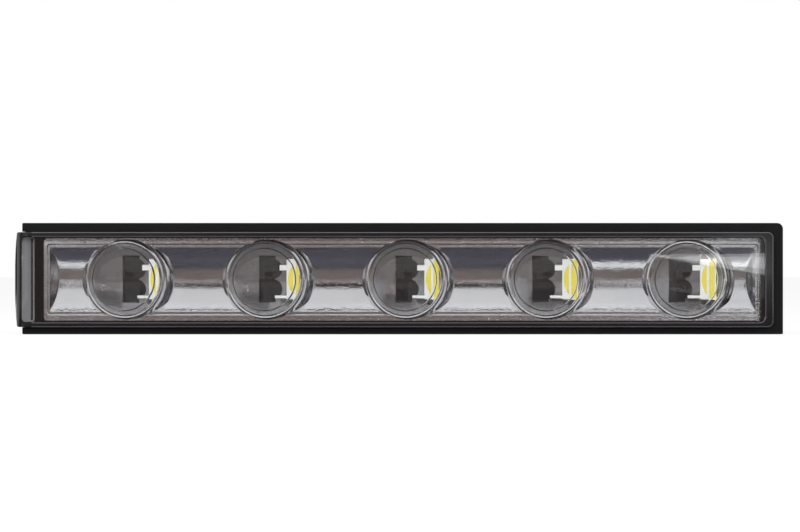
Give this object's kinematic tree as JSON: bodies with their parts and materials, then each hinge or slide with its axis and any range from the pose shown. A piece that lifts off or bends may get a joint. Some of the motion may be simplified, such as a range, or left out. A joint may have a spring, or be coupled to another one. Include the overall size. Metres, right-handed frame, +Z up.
{
  "type": "daytime running light",
  "caption": "Slim strip-shaped running light: a row of round projector lenses in a chromed trough, under a clear cover in a black tray with a finned heat sink.",
  "frame": {"origin": "middle of the lamp's length and depth, on the surface that its flat underside rests on", "axes": "+X along the lamp towards its plain right end as seen from the front, -Y out of the light-emitting face, +Z up"},
  "size_m": [0.207, 0.036, 0.03],
  "materials": {
    "housing_black": "satin moulded black plastic",
    "clear_cover": "clear polished polycarbonate",
    "rim_black": "gloss black band moulded round the clear cover",
    "seal_rubber": "matt sealing bead",
    "chrome": "bright vacuum metallised plastic",
    "board_black": "black solder mask on an aluminium core",
    "pad_silicone": "soft silicone",
    "sink_aluminium": "extruded, bead blasted",
    "screw_steel": "zinc plated",
    "insert_brass": "turned brass",
    "vent_black": "moulded black plastic",
    "membrane_white": "white breathable film",
    "terminal_tin": "tin plated brass",
    "part_black": "moulded black epoxy",
    "part_ceramic": "ceramic capacitor body",
    "clear_lens": "clear polished acrylic",
    "chamber_metal": "satin metallised plastic",
    "led_white": "white moulded package",
    "phosphor_yellow": "yellow phosphor in silicone"
  },
  "bodies": {
    "root": {"housing": "housing_black", "outer_lens": "clear_cover", "cover_rim": "rim_black", "lens_seal": "seal_rubber", "bezel": "chrome", "circuit_board": "board_black", "thermal_pad": "pad_silicone", "heat_sink": "sink_aluminium", "heat_sink_screws": "screw_steel", "board_screws": "screw_steel", "bezel_screws": "screw_steel", "insert_left": "insert_brass", "insert_right": "insert_brass", "vent_plug": "vent_black", "vent_membrane": "membrane_white", "terminal_left": "terminal_tin", "terminal_right": "terminal_tin", "driver_chip": "part_black", "inductor": "part_black", "diode": "part_black", "resistors": "part_black", "capacitors": "part_ceramic", "lens_1": "clear_lens", "reflector_cup_1": "chamber_metal", "led_1": "led_white", "phosphor_1": "phosphor_yellow", "lens_2": "clear_lens", "reflector_cup_2": "chamber_metal", "led_2": "led_white", "phosphor_2": "phosphor_yellow", "lens_3": "clear_lens", "reflector_cup_3": "chamber_metal", "led_3": "led_white", "phosphor_3": "phosphor_yellow", "lens_4": "clear_lens", "reflector_cup_4": "chamber_metal", "led_4": "led_white", "phosphor_4": "phosphor_yellow", "lens_5": "clear_lens", "reflector_cup_5": "chamber_metal", "led_5": "led_white", "phosphor_5": "phosphor_yellow"}
  },
  "joints": []
}
